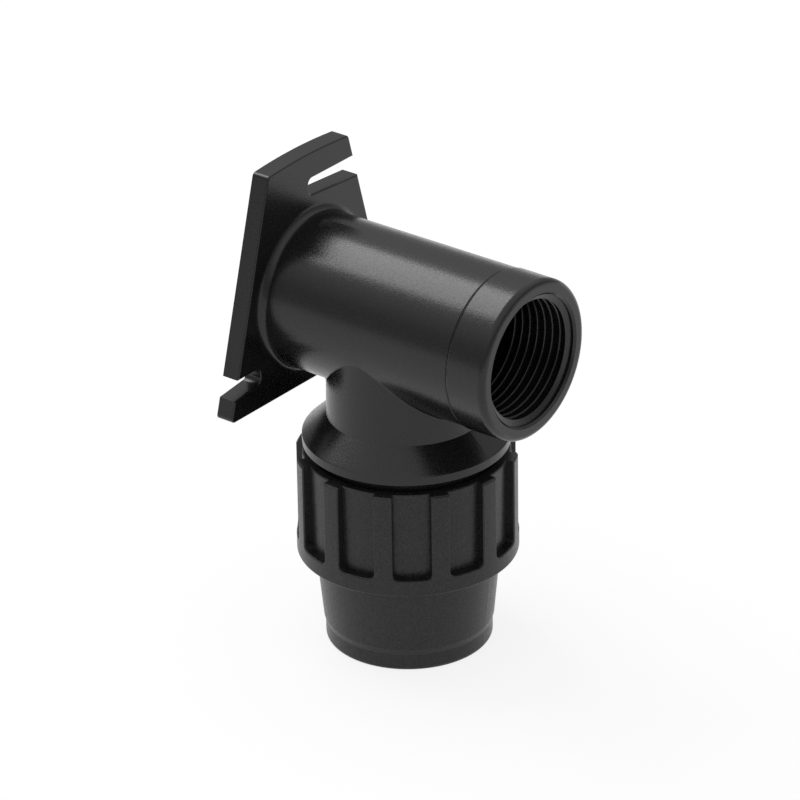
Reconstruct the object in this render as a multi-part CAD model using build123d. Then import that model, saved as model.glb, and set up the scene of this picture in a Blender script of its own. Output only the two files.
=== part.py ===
from build123d import *
import os
from math import hypot, isclose, radians, tan

# Wall plate elbow for 25 mm polyethylene pipe, with a G 3/4 female outlet.
# Millimetres, +Z up. The origin is on the wall, where the outlet axis leaves it.
# +X is the outlet, away from the wall. The pipe comes up from below, along the branch axis.

# Wall plate
plate_thick = 3.9           # from the wall to the front face
plate_top_z = 28.3          # corners of the top edge
plate_foot_z = -19.9        # bottom edge
plate_top_half = 12.4       # half width at the top corners
plate_flank_slope = 0.275   # how much each flank runs out for each millimetre down
plate_arch = 0.6            # rise of the arched top edge over its corners
plate_corner_r = 0.9        # rounding of the plate's outline
plate_edge_r = 0.35         # rounding of the front edges
root_fillet = 1.6           # fillet between the tube and the plate

# Screw slots: the upper one opens to +Y, the lower one to -Y
slot_wall_z = 23.4          # straight upper wall of the upper slot
slot_root_y = -0.3          # closed end of the upper slot
slot_root_h = 3.5           # height of the upper slot at its closed end
slot_mouth_h = 4.4          # height of the upper slot where it leaves the plate
low_slot_wall_z = -11.25    # straight upper wall of the lower slot
low_slot_root_y = -16.4     # closed end of the lower slot
low_slot_root_h = 3.2       # height of the lower slot at its closed end
low_slot_mouth_h = 4.0      # height of the lower slot where it leaves the plate
slot_root_r = 1.2           # rounding of the slots' closed ends
slot_overrun = 3.0          # how far each slot's cut runs past the plate

# Outlet tube
outlet_len = 58.5           # from the wall to the mouth
tube_draft = 0.1            # how much the tube widens from the plate to the mouth band
band_step = 0.2             # step up onto the mouth band
band_len = 8.6              # length of the mouth band
mouth_wall = 3.08           # wall of the mouth band round the thread
mouth_edge_r = 1.3          # rounding of the mouth's outer edge
mouth_chamfer = 0.45        # chamfer of the bore at the mouth
thread_major_r = 13.22      # G 3/4 thread, major radius
thread_len = 17.5           # depth of the threaded socket
thread_runout = 1.6         # cone between the threaded socket and the waterway
waterway_step = 1.62        # how far the waterway behind the thread is smaller in radius
waterway_draft = 0.5        # how much the waterway narrows to its closed end
blind_wall = 6.5            # solid wall between the closed end and the wall surface

# Branch and flange
branch_wall_gap = 4.95      # gap between the wall and the nut, which sets the branch's distance
branch_bore_r = 10.5        # waterway down the branch
branch_inset = 0.6          # how much slimmer the branch is than the tube, in radius
branch_draft = 0.35         # how much the branch widens down to its foot
branch_foot_z = -19.9       # foot of the branch, where the flare starts
crease_fillet = 0.7         # fillet between the branch and the tube
flange_reach = 2.2          # how far the flange stands out over the socket's land
flange_top_z = -24.15       # top edge of the flange's rim
flange_rim_h = 2.15         # height of the rim
flange_edge = 0.25          # chamfer of the rim's edges

# Pipe and its clearances
pipe_r = 12.5               # 25 mm pipe
pipe_gap = 0.15             # clearance of the socket round the pipe
entry_gap = 0.4             # clearance of the nut's entry round the pipe
pipe_socket_h = 9.0         # height of the close socket over the seal, up to the pipe's stop

# Threaded socket of the body, inside the nut
socket_h = 18.7             # from the underside of the flange to the lower end
socket_wall = 1.8           # wall round the seal chamber, under the coarse thread
socket_crest_h = 1.0        # how far the coarse thread's crests stand out
socket_land_h = 2.7         # height of the plain land under the flange, as wide as the crests
socket_end_chamfer = 0.5    # chamfers at the lower end
seal_chamber_h = 11.0       # depth of the chamber for the seal and the bushing

# Seal ring
seal_section_r = 1.45       # radius of the round section
seal_gap = 0.05             # clearance of the seal in its chamber
seal_pipe_gap = 0.15        # clearance of the slack seal round the pipe

# Press bushing
bushing_gap = 0.12          # clearance of the bushing in the chamber
bushing_bore_gap = 0.25     # clearance of the bushing round the pipe
bushing_flange_reach = 0.8  # how far its flange stands out over the chamber
bushing_flange_h = 2.0      # thickness of that flange
bushing_lift = 0.2          # gap between the flange and the socket's end
bushing_seal_gap = 0.1      # gap between the bushing's nose and the seal
bushing_edge = 0.4          # chamfers of the bushing

# Split grip ring
tighten_travel = 1.5        # how far the nut and the ring still move up
ring_stop_gap = 0.2         # gap that is left to the bushing when tight
ring_head_wall = 3.2        # wall over the barbs at the wide end
ring_head_h = 2.0           # plain cylinder at the wide end
ring_cone_h = 11.4          # height of the cone below it
ring_cone_deg = 10.0        # slope of the cone's side
ring_bore_gap = 0.2         # the barbs' tips stand this far off the pipe
ring_barb_count = 6         # barbs that bite the pipe
ring_barb_depth = 0.7       # depth of the barbs
ring_barb_pitch = 1.7       # distance from barb to barb
ring_slit = 3.0             # width of the slit
ring_slit_deg = 130.0       # where the slit lies round the branch axis
ring_edge = 0.4             # chamfers of the ring

# Compression nut
nut_wall = 1.9              # wall between the bore and the recessed panels, at the top
nut_top_gap = 1.9           # gap between the flange and the nut, hand tight
nut_band_h = 3.45           # height of the full band under the recessed panels
nut_band_drop = 1.15        # how far the band's lower edge lies under the step of the bore
nut_band_edge_r = 0.4       # rounding of that lower edge
nut_panel_depth = 1.5       # depth of the recessed panels at the top
nut_panel_draft = 0.3       # how much deeper the panels are at their lower end
nut_rib_count = 12          # ribs round the nut
nut_rib_deg = 10.0          # angular width of one rib
nut_panel_turn = 10.4       # where the first panel's middle lies round the branch axis
nut_panel_corner_r = 1.2    # rounded lower corners of the panels
nut_panel_edge_r = 0.3      # rounding of the panels' outer edges
nut_rim_chamfer = 0.4       # chamfer along the top of the ribs
nut_floor_chamfer = 0.2     # chamfer along the top of the panels' floors
nut_bore_chamfer = 0.3      # chamfer at the top of the thread bore
nut_collar_wall = 1.7       # wall of the collar round the ring's wide end
nut_kink_step = 0.35        # how far the foot of the collar's taper stands out over the straight end
nut_kink_h = 4.9            # height of that foot over the nut's lower end
nut_neck_h = 3.6            # height of the straight end
nut_end_wall = 3.8          # wall of the straight end round the pipe entry
nut_end_edge_r = 0.8        # rounding of the lower end
nut_entry_h = 6.9           # length of the pipe entry, from the ring's seat to the lower end
nut_bore_gap = 0.3          # clearance of the nut's bore round the socket's land
nut_floor_gap = 0.2         # step of the bore above the grip ring
nut_cone_gap = 0.15         # clearance between the ring's cone and the nut's
nut_seat_gap = 0.3          # clearance under the ring
nut_entry_chamfer = 0.8     # chamfer of the pipe entry

# Cutting tools
cut_margin = 1.0            # how far a cutting tool runs past what it cuts
edge_tolerance = 0.01       # how near to a surface an edge counts as lying on it

# Radii that follow from the values above
band_r = thread_major_r + mouth_wall
tube_band_r = band_r - band_step
tube_wall_r = tube_band_r - tube_draft
waterway_r = thread_major_r - waterway_step
branch_r = tube_wall_r - branch_inset
branch_foot_r = branch_r + branch_draft
seal_ring_r = pipe_r + seal_pipe_gap + seal_section_r
seal_chamber_r = seal_ring_r + seal_section_r + seal_gap
socket_core_r = seal_chamber_r + socket_wall
socket_land_r = socket_core_r + socket_crest_h
flange_r = socket_land_r + flange_reach
bushing_flange_r = seal_chamber_r + bushing_flange_reach
barb_tip_r = pipe_r + ring_bore_gap
barb_root_r = barb_tip_r + ring_barb_depth
ring_head_r = barb_root_r + ring_head_wall
ring_end_r = ring_head_r - ring_cone_h * tan(radians(ring_cone_deg))
nut_bore_r = socket_land_r + nut_bore_gap
nut_panel_r = nut_bore_r + nut_wall
nut_r = nut_panel_r + nut_panel_depth
nut_head_r = ring_head_r + nut_cone_gap
nut_seat_r = ring_end_r + nut_cone_gap
nut_collar_r = nut_head_r + nut_collar_wall
nut_entry_r = pipe_r + entry_gap
nut_end_r = nut_entry_r + nut_end_wall
nut_kink_r = nut_end_r + nut_kink_step

# Places that follow from them: the branch axis, then heights from the flange down
branch_x = branch_wall_gap + nut_r
flange_under_z = flange_top_z - flange_rim_h
socket_end_z = flange_under_z - socket_h
seal_chamber_top_z = socket_end_z + seal_chamber_h
pipe_stop_z = seal_chamber_top_z + pipe_socket_h
seal_z = seal_chamber_top_z - seal_gap - seal_section_r
bushing_top_z = seal_z - seal_section_r - bushing_seal_gap
bushing_flange_z = socket_end_z - bushing_lift
bushing_end_z = bushing_flange_z - bushing_flange_h
ring_top_z = bushing_end_z - tighten_travel - ring_stop_gap
ring_cone_z = ring_top_z - ring_head_h
ring_end_z = ring_cone_z - ring_cone_h
nut_top_z = flange_under_z - nut_top_gap
nut_floor_z = ring_top_z + nut_floor_gap
nut_band_z = nut_floor_z - nut_band_drop
nut_panel_z = nut_band_z + nut_band_h
nut_seat_z = ring_end_z - nut_seat_gap
nut_end_z = nut_seat_z - nut_entry_h
nut_kink_z = nut_end_z + nut_kink_h
nut_neck_z = nut_end_z + nut_neck_h


def turned(outline):
    """Turns a closed (radius, z) outline about the branch axis."""
    face = Plane.XZ * make_face(outline)
    return Pos(branch_x, 0, 0) * revolve(face, Axis.Z)


def outlet_turned(outline):
    """Turns a closed (x, radius) outline about the outlet axis."""
    face = Plane.XZ * make_face(outline)
    return revolve(face, Axis.X)


def arc_inset(radius):
    """How far the middle of a quarter arc stands in from the corner that it rounds."""
    return radius * (1 - 0.5**0.5)


def plate_half(z):
    """Half width of the wall plate at height z."""
    return plate_top_half + plate_flank_slope * (plate_top_z - z)


def slot_cut(root_y, wall_z, root_h, mouth_h, side):
    """A screw slot: straight upper wall, lower wall that falls away to the open side."""
    mouth_y = side * plate_half(wall_z)
    end_y = mouth_y + side * slot_overrun
    end_h = root_h + (mouth_h - root_h) * (end_y - root_y) / (mouth_y - root_y)
    corners = [(root_y, wall_z), (end_y, wall_z), (end_y, wall_z - end_h), (root_y, wall_z - root_h)]
    face = make_face(Polyline(*corners, close=True))
    roots = face.vertices().sort_by_distance((root_y, wall_z - root_h / 2))[:2]
    return extrude(Plane.YZ * fillet(roots, slot_root_r), plate_thick)


def wall_plate():
    """The plate: a trapezoid with an arched top edge, cut by two open screw slots."""
    foot_half = plate_half(plate_foot_z)
    arch = ThreePointArc(
        (-plate_top_half, plate_top_z), (0, plate_top_z + plate_arch), (plate_top_half, plate_top_z)
    )
    flanks = Polyline(
        (plate_top_half, plate_top_z),
        (foot_half, plate_foot_z),
        (-foot_half, plate_foot_z),
        (-plate_top_half, plate_top_z),
    )
    face = make_face([arch, flanks])
    plate = extrude(Plane.YZ * fillet(face.vertices(), plate_corner_r), plate_thick)
    plate -= slot_cut(slot_root_y, slot_wall_z, slot_root_h, slot_mouth_h, 1)
    plate -= slot_cut(low_slot_root_y, low_slot_wall_z, low_slot_root_h, low_slot_mouth_h, -1)
    front = plate.faces().sort_by(Axis.X)[-1]
    return fillet(front.edges(), plate_edge_r)


def outlet_tube():
    """Outside of the tube, from the fillet on the plate to the rounded mouth band."""
    band_x = outlet_len - band_len
    flare_x = plate_thick + root_fillet
    flare_r = tube_wall_r + root_fillet
    flare_inset = arc_inset(root_fillet)
    lip_x = outlet_len - mouth_edge_r
    lip_r = band_r - mouth_edge_r
    lip_inset = arc_inset(mouth_edge_r)
    flare = ThreePointArc(
        (plate_thick, flare_r),
        (plate_thick + flare_inset, tube_wall_r + flare_inset),
        (flare_x, tube_wall_r),
    )
    side = Polyline((flare_x, tube_wall_r), (band_x, tube_band_r), (band_x, band_r), (lip_x, band_r))
    lip = ThreePointArc(
        (lip_x, band_r),
        (outlet_len - lip_inset, band_r - lip_inset),
        (outlet_len, lip_r),
    )
    ends = Polyline(
        (outlet_len, lip_r),
        (outlet_len, 0),
        (0, 0),
        (0, tube_wall_r),
        (plate_thick, tube_wall_r),
        (plate_thick, flare_r),
    )
    return outlet_turned([flare, side, lip, ends])


def outlet_bore():
    """Threaded socket, run-out cone and the blind waterway behind them."""
    thread_x = outlet_len - thread_len
    runout_x = thread_x - thread_runout
    points = [
        (outlet_len, 0),
        (outlet_len, thread_major_r + mouth_chamfer),
        (outlet_len - mouth_chamfer, thread_major_r),
        (thread_x, thread_major_r),
        (runout_x, waterway_r),
        (blind_wall, waterway_r - waterway_draft),
        (blind_wall, 0),
    ]
    return outlet_turned(Polyline(*points, close=True))


def branch():
    """Outside of the branch: tapered neck, flare, flange rim, plain land and socket."""
    points = [
        (0, 0),
        (branch_r, 0),
        (branch_foot_r, branch_foot_z),
        (flange_r - flange_edge, flange_top_z),
        (flange_r, flange_top_z - flange_edge),
        (flange_r, flange_under_z + flange_edge),
        (flange_r - flange_edge, flange_under_z),
        (socket_land_r, flange_under_z),
        (socket_land_r, flange_under_z - socket_land_h),
        (socket_core_r, flange_under_z - socket_land_h - (socket_land_r - socket_core_r)),
        (socket_core_r, socket_end_z + socket_end_chamfer),
        (socket_core_r - socket_end_chamfer, socket_end_z),
        (0, socket_end_z),
    ]
    return turned(Polyline(*points, close=True))


def branch_bore():
    """Waterway down the branch, pipe socket with its stop, and the seal chamber."""
    socket_r = pipe_r + pipe_gap
    points = [
        (0, 0),
        (branch_bore_r, 0),
        (branch_bore_r, pipe_stop_z),
        (socket_r, pipe_stop_z),
        (socket_r, seal_chamber_top_z),
        (seal_chamber_r, seal_chamber_top_z),
        (seal_chamber_r, socket_end_z + socket_end_chamfer),
        (seal_chamber_r + socket_end_chamfer, socket_end_z),
        (0, socket_end_z),
    ]
    return turned(Polyline(*points, close=True))


def elbow_body():
    """One moulding: wall plate, outlet tube, branch, flange and threaded socket."""
    shell = outlet_tube() + branch()
    creases = shell.edges().filter_by(GeomType.BSPLINE)
    shell = fillet(creases, crease_fillet)
    shell += wall_plate()
    shell -= outlet_bore()
    shell -= branch_bore()
    return shell


def seal_ring():
    """Rubber ring of round section, in the top of the seal chamber."""
    section = Plane.XZ * Pos(seal_ring_r, seal_z) * Circle(seal_section_r)
    return Pos(branch_x, 0, 0) * revolve(section, Axis.Z)


def press_bushing():
    """Sleeve that holds the seal in its chamber, with a flange under the socket."""
    outer = seal_chamber_r - bushing_gap
    bore = pipe_r + bushing_bore_gap
    points = [
        (bore, bushing_top_z),
        (outer - bushing_edge, bushing_top_z),
        (outer, bushing_top_z - bushing_edge),
        (outer, bushing_flange_z),
        (bushing_flange_r, bushing_flange_z),
        (bushing_flange_r, bushing_end_z),
        (bore + bushing_edge, bushing_end_z),
        (bore, bushing_end_z + bushing_edge),
    ]
    return turned(Polyline(*points, close=True))


def grip_ring():
    """Split conical ring with barbs inside, which the nut's cone closes on the pipe."""
    points = [
        (barb_root_r, ring_top_z),
        (ring_head_r - ring_edge, ring_top_z),
        (ring_head_r, ring_top_z - ring_edge),
        (ring_head_r, ring_cone_z),
        (ring_end_r, ring_end_z),
        (barb_root_r, ring_end_z),
    ]
    barb_z = (ring_top_z + ring_end_z - ring_barb_count * ring_barb_pitch) / 2
    for barb in range(ring_barb_count):
        low = barb_z + barb * ring_barb_pitch
        points += [(barb_root_r, low), (barb_tip_r, low + ring_barb_pitch)]
    points.append((barb_root_r, barb_z + ring_barb_count * ring_barb_pitch))
    ring = turned(Polyline(*points, close=True))
    slit_h = ring_head_h + ring_cone_h + 2 * cut_margin
    slit = Box(ring_head_r + cut_margin, ring_slit, slit_h, align=(Align.MIN, Align.CENTER, Align.MAX))
    return ring - Pos(branch_x, 0, ring_top_z + cut_margin) * Rot(0, 0, ring_slit_deg) * slit


def nut_outside():
    """The nut's outline: ribbed barrel, full band and tapered collar, still without panels."""
    barrel = [
        (0, nut_top_z),
        (nut_r - nut_rim_chamfer, nut_top_z),
        (nut_r, nut_top_z - nut_rim_chamfer),
        (nut_r, nut_band_z),
        (nut_collar_r, nut_band_z),
        (nut_kink_r, nut_kink_z),
        (nut_end_r, nut_neck_z),
        (nut_end_r, nut_end_z),
        (0, nut_end_z),
    ]
    face = make_face(Polyline(*barrel, close=True))
    band_corner = face.vertices().sort_by_distance((nut_r, nut_band_z))[0]
    face = fillet(band_corner, nut_band_edge_r)
    end_corner = face.vertices().sort_by_distance((nut_end_r, nut_end_z))[0]
    face = fillet(end_corner, nut_end_edge_r)
    shell = revolve(Plane.XZ * face, Axis.Z)
    return Pos(branch_x, 0, 0) * Rot(0, 0, nut_panel_turn) * shell


def nut_inside():
    """Thread bore, chamber and cone for the grip ring, and the pipe entry."""
    points = [
        (0, nut_top_z),
        (nut_bore_r + nut_bore_chamfer, nut_top_z),
        (nut_bore_r, nut_top_z - nut_bore_chamfer),
        (nut_bore_r, nut_floor_z),
        (nut_head_r, nut_floor_z),
        (nut_head_r, ring_cone_z),
        (nut_seat_r, nut_seat_z),
        (nut_entry_r, nut_seat_z),
        (nut_entry_r, nut_end_z + nut_entry_chamfer),
        (nut_entry_r + nut_entry_chamfer, nut_end_z),
        (0, nut_end_z),
    ]
    return turned(Polyline(*points, close=True))


def panel_cuts():
    """The recesses between the ribs: radial walls, drafted floors and round lower corners."""
    step = 360 / nut_rib_count
    panel_deg = step - nut_rib_deg
    out_r = nut_r + cut_margin
    points = [
        (nut_panel_r - nut_panel_draft, nut_panel_z),
        (out_r, nut_panel_z),
        (out_r, nut_top_z),
        (nut_panel_r - nut_floor_chamfer, nut_top_z),
        (nut_panel_r, nut_top_z - nut_floor_chamfer),
    ]
    section = Plane.XZ * make_face(Polyline(*points, close=True))
    cut = revolve(section, Axis.Z, revolution_arc=panel_deg)
    corners = cut.edges().filter_by(GeomType.LINE).sort_by(Axis.Z)[:2]
    cut = fillet(corners, nut_panel_corner_r)
    turns = [nut_panel_turn - panel_deg / 2 + i * step for i in range(nut_rib_count)]
    return [Pos(branch_x, 0, 0) * Rot(0, 0, turn) * cut for turn in turns]


def bounds_panel(edge):
    """True for an edge on the outside of the ribs, from the panels' ledge up to the ribs' chamfer."""
    for place in (0.1, 0.5, 0.9):
        point = edge @ place
        on_ribs = isclose(hypot(point.X - branch_x, point.Y), nut_r, abs_tol=edge_tolerance)
        if not on_ribs or not nut_panel_z - edge_tolerance < point.Z < nut_top_z - nut_rim_chamfer:
            return False
    return True


def compression_nut():
    """One moulding that screws onto the socket and closes the grip ring."""
    nut = nut_outside()
    for cut in panel_cuts():
        nut -= cut
    nut = fillet(nut.edges().filter_by(bounds_panel), nut_panel_edge_r)
    return nut - nut_inside()


os.makedirs("parts", exist_ok=True)
nodes = {
    "elbow_body": elbow_body(),
    "seal_ring": seal_ring(),
    "press_bushing": press_bushing(),
    "grip_ring": grip_ring(),
    "compression_nut": compression_nut(),
}
for name, solid in nodes.items():
    solid.label = name
    export_step(solid, f"parts/{name}.step")
    print(name, "volume", round(solid.volume, 1), "solids", len(solid.solids()))
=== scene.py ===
# %% [markdown]
# # A wall plate elbow, finished around its CAD frame
#
# The object is a black plastic elbow for 25 mm water pipe. A slotted plate goes against the wall, a
# threaded outlet comes straight out of it, and a ribbed nut below clamps the pipe. All its large shapes
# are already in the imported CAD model. This script loads that model as a fixed frame, adds the three screw
# threads, gives every piece its plastic, and sets up the light and the camera. The first lines load the
# frame, because everything else is placed by it.

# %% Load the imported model
from math import cos, pi, radians, sin

import bpy
from mathutils import Matrix, Vector


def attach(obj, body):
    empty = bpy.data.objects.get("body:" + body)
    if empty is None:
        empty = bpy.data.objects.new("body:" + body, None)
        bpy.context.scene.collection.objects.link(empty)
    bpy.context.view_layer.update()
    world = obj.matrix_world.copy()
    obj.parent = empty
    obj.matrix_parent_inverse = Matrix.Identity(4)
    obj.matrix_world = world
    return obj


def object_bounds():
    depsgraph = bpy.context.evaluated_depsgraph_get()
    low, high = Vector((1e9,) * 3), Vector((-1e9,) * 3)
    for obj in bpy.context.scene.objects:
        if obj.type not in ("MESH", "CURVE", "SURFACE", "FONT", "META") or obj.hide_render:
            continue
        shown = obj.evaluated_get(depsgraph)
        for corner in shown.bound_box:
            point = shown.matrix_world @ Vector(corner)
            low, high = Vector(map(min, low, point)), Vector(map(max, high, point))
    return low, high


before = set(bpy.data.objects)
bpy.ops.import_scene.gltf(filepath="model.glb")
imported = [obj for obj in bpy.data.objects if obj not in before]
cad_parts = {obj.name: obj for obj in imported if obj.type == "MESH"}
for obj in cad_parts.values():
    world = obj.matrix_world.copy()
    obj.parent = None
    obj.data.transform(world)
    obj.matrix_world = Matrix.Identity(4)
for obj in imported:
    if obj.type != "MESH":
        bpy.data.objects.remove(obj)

MM = 0.001
cad_box = [list(corner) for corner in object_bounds()]
print("CAD box in metres:", cad_box)
for name, node in sorted(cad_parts.items()):
    print(name, "has", len(node.data.polygons), "faces")

# %% [markdown]
# ## The camera
#
# The photograph was taken with a long lens from about a metre away, some 50 degrees to one side of the
# outlet's axis and 27 degrees above it. A long lens keeps the edges of the nut and of the plate nearly
# parallel. The camera could be aimed with a Track To constraint, but three angles say the same thing in
# plain numbers: azimuth turns it round the object, elevation lifts it, and roll tips the picture by less
# than a degree.

# %% Place the camera
azimuth = radians(38.6034)
elevation = radians(27.1027)
roll = radians(-0.9430)
aim = Vector((27.114, -1.957, -17.055)) * MM
distance = 1021.79 * MM
focal_length = 234.9
sensor_width = 36
near_limit = 0.01

backward = Vector((sin(azimuth) * cos(elevation), -cos(azimuth) * cos(elevation), sin(elevation)))
level_right = Vector((cos(azimuth), sin(azimuth), 0))
level_up = backward.cross(level_right)
right = level_right * cos(roll) + level_up * sin(roll)
up = level_up * cos(roll) - level_right * sin(roll)

lens = bpy.data.cameras.new("camera")
lens.lens = focal_length
lens.sensor_width = sensor_width
lens.clip_start = near_limit
camera = bpy.data.objects.new("camera", lens)
turn = Matrix((right, up, backward)).transposed().to_4x4()
camera.matrix_world = Matrix.Translation(aim + backward * distance) @ turn
bpy.context.scene.collection.objects.link(camera)
bpy.context.scene.camera = camera
print("camera stands at", [round(value, 4) for value in camera.location])

# %% [markdown]
# ## Colour handling and the surroundings
#
# The Standard view transform shows a colour as it is written. Black plastic has hardly any colour of its
# own: what the eye sees is its surroundings, mirrored at about a thirtieth of their strength, and more at
# a slant. The backdrop is therefore graded, as a paper sweep is, from grey at the horizon to white
# overhead, and the camera sees the same backdrop that the plastic mirrors. The light that it gives to
# matt surfaces is set lower, because the lamp adds its own.

# %% Set the view transform and the world
bpy.context.scene.view_settings.view_transform = "Standard"

white = (1, 1, 1, 1)
horizon_grey = (0.42, 0.42, 0.42, 1)
grey_below = 0.32
white_above = 0.74
room_light = 0.88
world = bpy.data.worlds.new("white_room")
bpy.context.scene.world = world
world.use_nodes = True
tree = world.node_tree
tree.nodes.clear()
output = tree.nodes.new("ShaderNodeOutputWorld")
seen = tree.nodes.new("ShaderNodeBackground")
seen.inputs["Strength"].default_value = 1.0
facing = tree.nodes.new("ShaderNodeTexCoord")
height = tree.nodes.new("ShaderNodeSeparateXYZ")
sweep = tree.nodes.new("ShaderNodeValToRGB")
sweep.color_ramp.elements[0].position = grey_below
sweep.color_ramp.elements[0].color = horizon_grey
sweep.color_ramp.elements[1].position = white_above
sweep.color_ramp.elements[1].color = white
tree.links.new(facing.outputs["Generated"], height.inputs[0])
tree.links.new(height.outputs["Z"], sweep.inputs["Fac"])
tree.links.new(sweep.outputs["Color"], seen.inputs["Color"])
felt = tree.nodes.new("ShaderNodeBackground")
felt.inputs["Strength"].default_value = room_light
felt.inputs["Color"].default_value = white
rays = tree.nodes.new("ShaderNodeLightPath")
either = tree.nodes.new("ShaderNodeMath")
either.operation = "MAXIMUM"
any_of = tree.nodes.new("ShaderNodeMath")
any_of.operation = "MAXIMUM"
choose = tree.nodes.new("ShaderNodeMixShader")
tree.links.new(rays.outputs["Is Camera Ray"], either.inputs[0])
tree.links.new(rays.outputs["Is Glossy Ray"], either.inputs[1])
tree.links.new(either.outputs[0], any_of.inputs[0])
tree.links.new(rays.outputs["Is Transmission Ray"], any_of.inputs[1])
tree.links.new(any_of.outputs[0], choose.inputs[0])
tree.links.new(felt.outputs[0], choose.inputs[1])
tree.links.new(seen.outputs[0], choose.inputs[2])
tree.links.new(choose.outputs[0], output.inputs["Surface"])
print("the world has", len(tree.nodes), "nodes")

# %% [markdown]
# ## The lamp
#
# One large softbox hangs high behind the wall plate and draws the broad band of light along the outlet.
# Its place isn't guessed: a mirror turns a view ray about the surface's normal, and doing that for the
# bright band on the tube points backward along the outlet, 55 degrees up. An area lamp is used, because
# its shape is what shows in a semi-gloss surface. A point lamp would leave a hard dot.

# %% Hang the softbox
def softbox(name, place, target, width, height, power):
    """An area lamp at a place, in metres, that faces a target."""
    lamp = bpy.data.lights.new(name, "AREA")
    lamp.shape = "RECTANGLE"
    lamp.size = width
    lamp.size_y = height
    lamp.energy = power
    box = bpy.data.objects.new(name, lamp)
    bpy.context.scene.collection.objects.link(box)
    box.location = place
    box.rotation_euler = (Vector(target) - Vector(place)).to_track_quat("-Z", "Y").to_euler()
    print(name, "is", round((Vector(target) - Vector(place)).length, 2), "m away, with", power, "W")


object_middle = (0.027, 0, -0.02)
lamp_turn = radians(177)
lamp_lift = radians(54)
reach = 0.9
lamp_width = 0.62
lamp_height = 0.42
lamp_power = 3.8
toward_lamp = Vector((cos(lamp_lift) * cos(lamp_turn), cos(lamp_lift) * sin(lamp_turn), sin(lamp_lift)))
lamp_place = Vector(object_middle) + toward_lamp * reach
softbox("softbox_behind", lamp_place, object_middle, lamp_width, lamp_height, lamp_power)

# %% [markdown]
# ## The floor
#
# The elbow stands on the flat end of its nut, so the floor lies at the lowest point of the object. One
# large plane is enough, because the floor is only the stage. A plain white floor would look grey wherever
# the object takes light from it, so its material mixes a white glow into a matt white. The camera then
# sees it nearly white, and a faint soft shadow is left.

# %% Lay the floor
bpy.ops.object.select_all(action="DESELECT")
floor_height = cad_box[0][2]
bpy.ops.mesh.primitive_plane_add(size=6, location=(0, 0, floor_height))
floor = bpy.context.object
floor.name = "floor"
bpy.ops.object.transform_apply(location=True, rotation=True, scale=True)

paper_white = (0.88, 0.88, 0.88, 1)
glow_share = 0.82
paper = bpy.data.materials.new("pale_paper")
paper.use_nodes = True
tree = paper.node_tree
tree.nodes.clear()
output = tree.nodes.new("ShaderNodeOutputMaterial")
matt = tree.nodes.new("ShaderNodeBsdfDiffuse")
matt.inputs["Color"].default_value = paper_white
glow = tree.nodes.new("ShaderNodeEmission")
glow.inputs["Color"].default_value = white
glow.inputs["Strength"].default_value = 1.0
rays = tree.nodes.new("ShaderNodeLightPath")
share = tree.nodes.new("ShaderNodeMath")
share.operation = "MAXIMUM"
faint = tree.nodes.new("ShaderNodeMath")
faint.operation = "MULTIPLY"
faint.inputs[1].default_value = glow_share
blend = tree.nodes.new("ShaderNodeMixShader")
tree.links.new(rays.outputs["Is Camera Ray"], share.inputs[0])
tree.links.new(rays.outputs["Is Glossy Ray"], share.inputs[1])
tree.links.new(share.outputs[0], faint.inputs[0])
tree.links.new(faint.outputs[0], blend.inputs[0])
tree.links.new(matt.outputs[0], blend.inputs[1])
tree.links.new(glow.outputs[0], blend.inputs[2])
tree.links.new(blend.outputs[0], output.inputs["Surface"])
floor.data.materials.append(paper)
print("the floor lies at", round(floor_height / MM, 2), "mm")

# %% [markdown]
# ## Helpers for modelling by hand
#
# Every operator in Blender acts on what is selected. After the import all the CAD pieces are selected, so
# each step starts from nothing selected. The helper below picks points of the active mesh by a test on
# their place, which is what a box selection does by eye.

# %% Selecting points by their place
def select_points(test):
    """Selects the points of the mesh in edit mode whose place passes the test, and says how many."""
    bpy.ops.mesh.select_all(action="DESELECT")
    bpy.ops.object.mode_set(mode="OBJECT")
    mesh = bpy.context.object.data
    chosen = 0
    for point in mesh.vertices:
        point.select = bool(test(point.co))
        chosen += point.select
    bpy.ops.object.mode_set(mode="EDIT")
    bpy.ops.mesh.select_mode(type="VERT")
    return chosen


def finish_piece(piece, name, body, material):
    """Names a finished piece, seats it at the origin and says what it rides on and is made of."""
    bpy.ops.object.select_all(action="DESELECT")
    piece.select_set(True)
    bpy.context.view_layer.objects.active = piece
    bpy.ops.object.transform_apply(location=True, rotation=True, scale=True)
    piece.name = name
    piece.data.name = name
    piece.data.materials.clear()
    piece.data.materials.append(material)
    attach(piece, body)
    print(name, "has", len(piece.data.polygons), "faces")

# %% [markdown]
# ## The plastics
#
# Everything here is injection moulded, and moulded black plastic is never one flat black. The mould's
# surface leaves a fine mottle, the colour drifts a little, and the sheen varies where the plastic cooled
# at different speeds. Noise on Object coordinates gives all three at their real size, and needs no
# unwrapping. The body is semi-gloss, and its fine grain breaks up the edge of the lamp's band. The nut is
# duller, because its spark-eroded grain scatters the light more.

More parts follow.
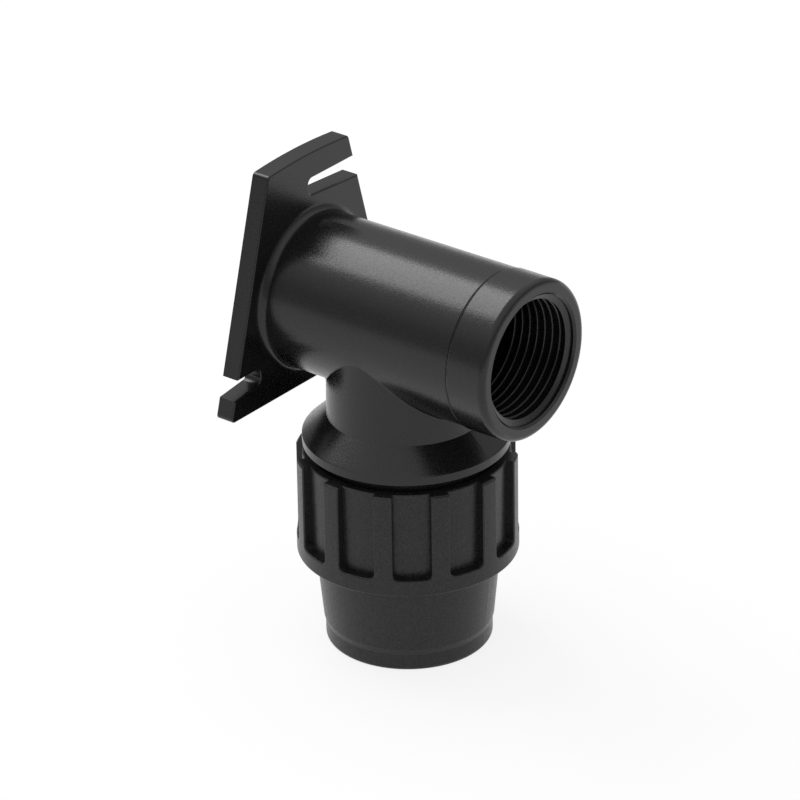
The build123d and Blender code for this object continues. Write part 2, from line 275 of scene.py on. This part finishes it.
# %% A moulded plastic from noise
def moulded_plastic(name, dark, pale, gloss, rough, grain_mm, grain_depth_mm, specular=0.5):
    """A plastic whose colour runs from dark to pale and whose roughness runs from gloss to rough.

    Its raised grain has a given size and depth in millimetres.
    """
    material = bpy.data.materials.new(name)
    material.use_nodes = True
    tree = material.node_tree
    shader = tree.nodes["Principled BSDF"]
    shader.inputs["Specular IOR Level"].default_value = specular
    place = tree.nodes.new("ShaderNodeTexCoord")
    noise_low, noise_high = 0.3, 0.7
    drift_mm = grain_mm * 1.3
    mottle_mm = grain_mm * 1.2

    drift = tree.nodes.new("ShaderNodeTexNoise")
    drift.inputs["Scale"].default_value = 1 / (drift_mm * MM)
    drift.inputs["Detail"].default_value = 3
    colours = tree.nodes.new("ShaderNodeValToRGB")
    colours.color_ramp.elements[0].position = noise_low
    colours.color_ramp.elements[0].color = (*dark, 1)
    colours.color_ramp.elements[1].position = noise_high
    colours.color_ramp.elements[1].color = (*pale, 1)

    mottle = tree.nodes.new("ShaderNodeTexNoise")
    mottle.inputs["Scale"].default_value = 1 / (mottle_mm * MM)
    mottle.inputs["Detail"].default_value = 3
    sheen = tree.nodes.new("ShaderNodeMapRange")
    sheen.inputs["From Min"].default_value = noise_low
    sheen.inputs["From Max"].default_value = noise_high
    sheen.inputs["To Min"].default_value = gloss
    sheen.inputs["To Max"].default_value = rough

    grain = tree.nodes.new("ShaderNodeTexNoise")
    grain.inputs["Scale"].default_value = 1 / (grain_mm * MM)
    grain.inputs["Detail"].default_value = 2
    bump = tree.nodes.new("ShaderNodeBump")
    bump.inputs["Strength"].default_value = 1
    bump.inputs["Distance"].default_value = grain_depth_mm * MM

    for texture in (drift, mottle, grain):
        tree.links.new(place.outputs["Object"], texture.inputs["Vector"])
    tree.links.new(drift.outputs["Fac"], colours.inputs["Fac"])
    tree.links.new(colours.outputs["Color"], shader.inputs["Base Color"])
    tree.links.new(mottle.outputs["Fac"], sheen.inputs["Value"])
    tree.links.new(sheen.outputs["Result"], shader.inputs["Roughness"])
    tree.links.new(grain.outputs["Fac"], bump.inputs["Height"])
    tree.links.new(bump.outputs["Normal"], shader.inputs["Normal"])
    print(name, "has grain of", grain_mm, "mm, raised", grain_depth_mm, "mm")
    return material


body_plastic = moulded_plastic("body_plastic_finish", (0.004, 0.004, 0.0041), (0.008, 0.008, 0.0083),
                               gloss=0.17, rough=0.31, grain_mm=0.36, grain_depth_mm=0.018, specular=0.41)
nut_plastic = moulded_plastic("nut_plastic_finish", (0.001, 0.001, 0.0011), (0.017, 0.017, 0.0175),
                              gloss=0.26, rough=0.44, grain_mm=0.30, grain_depth_mm=0.018, specular=0.35)
ring_plastic = moulded_plastic("ring_plastic_finish", (0.72, 0.70, 0.65), (0.80, 0.79, 0.75),
                               gloss=0.35, rough=0.45, grain_mm=0.50, grain_depth_mm=0.004)
bushing_plastic = moulded_plastic("bushing_plastic_finish", (0.024, 0.024, 0.026), (0.036, 0.036, 0.038),
                                  gloss=0.38, rough=0.50, grain_mm=0.45, grain_depth_mm=0.006)
seal_rubber = moulded_plastic("seal_rubber_finish", (0.009, 0.009, 0.009), (0.015, 0.015, 0.015),
                              gloss=0.42, rough=0.55, grain_mm=0.30, grain_depth_mm=0.004)

# %% [markdown]
# A fine line runs round the tube where the mouth band starts, left by the joint between two parts of the
# mould. The CAD model has the small step up onto the band. The line beside it is under a millimetre wide,
# so it is pressed into the finish: a second bump lowers the surface near one place along the tube, and
# only outside it.

# %% Press the seam beside the mouth band
seam_place = 49.7
seam_half = 0.36
seam_depth = 0.30
inside_radius = 15.5
tree = body_plastic.node_tree
shader = tree.nodes["Principled BSDF"]
grain_bump = shader.inputs["Normal"].links[0].from_node
place = tree.nodes.new("ShaderNodeTexCoord")
parts = tree.nodes.new("ShaderNodeSeparateXYZ")
away = tree.nodes.new("ShaderNodeMath")
away.operation = "SUBTRACT"
away.inputs[1].default_value = seam_place * MM
distance_off = tree.nodes.new("ShaderNodeMath")
distance_off.operation = "ABSOLUTE"
across = tree.nodes.new("ShaderNodeCombineXYZ")
radius = tree.nodes.new("ShaderNodeVectorMath")
radius.operation = "LENGTH"
inside = tree.nodes.new("ShaderNodeMath")
inside.operation = "LESS_THAN"
inside.inputs[1].default_value = inside_radius * MM
groove = tree.nodes.new("ShaderNodeMapRange")
groove.interpolation_type = "SMOOTHSTEP"
groove.inputs["From Max"].default_value = seam_half * MM
level = tree.nodes.new("ShaderNodeMath")
level.operation = "MAXIMUM"
seam = tree.nodes.new("ShaderNodeBump")
seam.inputs["Distance"].default_value = seam_depth * MM
tree.links.new(place.outputs["Object"], parts.inputs[0])
tree.links.new(parts.outputs["X"], away.inputs[0])
tree.links.new(away.outputs[0], distance_off.inputs[0])
tree.links.new(distance_off.outputs[0], groove.inputs["Value"])
tree.links.new(parts.outputs["Y"], across.inputs["Y"])
tree.links.new(parts.outputs["Z"], across.inputs["Z"])
tree.links.new(across.outputs[0], radius.inputs[0])
tree.links.new(radius.outputs["Value"], inside.inputs[0])
tree.links.new(groove.outputs["Result"], level.inputs[0])
tree.links.new(inside.outputs[0], level.inputs[1])
tree.links.new(level.outputs[0], seam.inputs["Height"])
tree.links.new(grain_bump.outputs["Normal"], seam.inputs["Normal"])
tree.links.new(seam.outputs["Normal"], shader.inputs["Normal"])
print("the seam lies", seam_place, "mm from the wall")

# %% Put the plastics on the CAD pieces
finishes = {
    "elbow_body": body_plastic,
    "compression_nut": nut_plastic,
    "grip_ring": ring_plastic,
    "press_bushing": bushing_plastic,
    "seal_ring": seal_rubber,
}
for name, material in finishes.items():
    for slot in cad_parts[name].material_slots:
        slot.material = material
    print(name, "now has", material.name)

# %% [markdown]
# ## The thread in the outlet
#
# The outlet takes a tap with a three-quarter inch pipe thread: ridges 1.16 mm deep and 1.814 mm apart,
# with flanks at 55 degrees. The CAD bore stands at the bottom of those ridges. A thread could be cut with
# a Boolean, which is slow and leaves poor faces. A real tap sweeps one tooth along a helix, and Blender's
# Screw modifier does the same: it takes a small profile and turns it round an axis while it climbs.

# %% Sweep a tooth along a helix
def thread_ridge(foot, foot_half, tip, tip_half, start, turns, pitch, steps, axis):
    """A helical ridge round the origin's X or Z axis, with all lengths in millimetres.

    foot and tip are the radii of the tooth's foot and tip, with half their widths beside them. start is
    where the tooth's middle starts along the axis.
    """
    bpy.ops.object.select_all(action="DESELECT")
    bpy.ops.mesh.primitive_plane_add(size=2, location=(0, 0, 0))
    piece = bpy.context.object
    bpy.ops.object.mode_set(mode="EDIT")
    middle = (foot + tip) / 2
    half = abs(foot - tip) / 2
    outward = 1 if tip > foot else -1
    tip_edge = (outward * half * MM, 0, 0)
    rounding = tip_half * 0.6
    bpy.ops.transform.resize(value=(half * MM, foot_half * MM, 1))
    select_points(lambda place: place.x * outward > 0)
    bpy.ops.transform.resize(value=(1, tip_half / foot_half, 1), center_override=tip_edge)
    bpy.ops.mesh.bevel(offset=rounding * MM, segments=2, affect="VERTICES")
    bpy.ops.mesh.select_all(action="SELECT")
    bpy.ops.mesh.delete(type="ONLY_FACE")
    bpy.ops.mesh.select_all(action="SELECT")
    bpy.ops.transform.translate(value=(middle * MM, start * MM, 0))
    if axis == "Z":
        bpy.ops.transform.rotate(value=-pi / 2, orient_axis="X", center_override=(0, 0, 0))
    else:
        bpy.ops.transform.rotate(value=pi / 2, orient_axis="Z", center_override=(0, 0, 0))
    bpy.ops.object.mode_set(mode="OBJECT")
    low = [min(point.co[i] for point in piece.data.vertices) / MM for i in range(3)]
    high = [max(point.co[i] for point in piece.data.vertices) / MM for i in range(3)]
    print("the tooth fills", [round(value, 2) for value in low], "to", [round(value, 2) for value in high])
    screw = piece.modifiers.new("thread", "SCREW")
    screw.axis = axis
    screw.angle = 2 * pi
    screw.screw_offset = pitch * MM
    screw.iterations = turns
    screw.steps = steps
    screw.render_steps = steps
    bpy.ops.object.modifier_apply(modifier=screw.name)
    bpy.ops.object.mode_set(mode="EDIT")
    bpy.ops.mesh.select_all(action="DESELECT")
    bpy.ops.mesh.select_mode(type="EDGE")
    bpy.ops.mesh.select_non_manifold()
    bpy.ops.mesh.edge_face_add()
    bpy.ops.mesh.select_all(action="SELECT")
    bpy.ops.mesh.normals_make_consistent(inside=False)
    bpy.ops.object.mode_set(mode="OBJECT")
    return piece


# %% Run the outlet's ridge seven turns in
bore_radius = 13.22
sunk = 0.1
thread_foot = bore_radius + sunk
thread_tip = 12.06
thread_foot_half = 0.78
thread_tip_half = 0.20
thread_pitch = 1.814
thread_start = 43.66
thread_turns = 7
thread_steps = 96
outlet_thread = thread_ridge(
    thread_foot, thread_foot_half, thread_tip, thread_tip_half,
    thread_start, thread_turns, thread_pitch, thread_steps, "X"
)
along = [point.co.x / MM for point in outlet_thread.data.vertices]
print("the outlet's ridge runs from x", round(min(along), 2), "to", round(max(along), 2), "mm")

# %% [markdown]
# A tap would catch on the end of that ridge, so the mould gives the mouth a lead-in: a short cone that
# guides the male thread in. It is a ring with a three-sided section. A circle is drawn at its outer end,
# extruded inward while it narrows, widened again to the wall and brought back to where it began.

# %% Draw the lead-in ring
cone_outer = 57.50
cone_inner = 56.98
cone_depth = cone_outer - cone_inner
narrowing = thread_tip / thread_foot
merge_within = 0.005
bpy.ops.object.select_all(action="DESELECT")
bpy.ops.mesh.primitive_circle_add(
    vertices=96, radius=thread_foot * MM, location=(cone_outer * MM, 0, 0), rotation=(0, pi / 2, 0)
)
lead_in = bpy.context.object
bpy.ops.object.transform_apply(location=True, rotation=True, scale=True)
bpy.ops.object.mode_set(mode="EDIT")
bpy.ops.mesh.select_all(action="SELECT")
bpy.ops.mesh.extrude_region_move(TRANSFORM_OT_translate={"value": (-cone_depth * MM, 0, 0)})
bpy.ops.transform.resize(value=(1, narrowing, narrowing), center_override=(cone_inner * MM, 0, 0))
bpy.ops.mesh.extrude_region_move(TRANSFORM_OT_translate={"value": (0, 0, 0)})
bpy.ops.transform.resize(value=(1, 1 / narrowing, 1 / narrowing), center_override=(cone_inner * MM, 0, 0))
bpy.ops.mesh.extrude_region_move(TRANSFORM_OT_translate={"value": (cone_depth * MM, 0, 0)})
bpy.ops.mesh.select_all(action="SELECT")
bpy.ops.mesh.remove_doubles(threshold=merge_within * MM)
bpy.ops.mesh.normals_make_consistent(inside=False)
bpy.ops.object.mode_set(mode="OBJECT")
print("the lead-in has", len(lead_in.data.polygons), "faces")

# %% Join the lead-in to the ridge
bpy.ops.object.select_all(action="DESELECT")
lead_in.select_set(True)
outlet_thread.select_set(True)
bpy.context.view_layer.objects.active = outlet_thread
bpy.ops.object.join()
finish_piece(outlet_thread, "outlet_thread", "body", body_plastic)

# %% [markdown]
# ## The coarse thread under the flange
#
# The nut runs on a coarse thread of 4 mm pitch, which lets a hand close it in two or three turns. The
# socket carries a ridge outside, and the nut carries one inside that lies half a pitch lower, in the
# socket's groove. Both are right-handed. The same sweep makes them: for the nut, the tooth's tip lies
# nearer the axis than its foot.

# %% Wind the socket's ridge and the nut's
branch_axis = 27.05
coarse_pitch = 4
coarse_turns = 3
coarse_foot_half = 1.0
coarse_tip_half = 0.5
socket_foot, socket_tip = 17.3, 18.4
nut_foot, nut_tip = 18.8, 17.7
socket_start = -43.4
nut_start = socket_start - coarse_pitch / 2
socket_thread = thread_ridge(
    socket_foot, coarse_foot_half, socket_tip, coarse_tip_half,
    socket_start, coarse_turns, coarse_pitch, thread_steps, "Z"
)
socket_thread.location.x = branch_axis * MM
finish_piece(socket_thread, "socket_thread", "body", body_plastic)
nut_thread = thread_ridge(
    nut_foot, coarse_foot_half, nut_tip, coarse_tip_half,
    nut_start, coarse_turns, coarse_pitch, thread_steps, "Z"
)
nut_thread.location.x = branch_axis * MM
finish_piece(nut_thread, "nut_thread", "nut", nut_plastic)
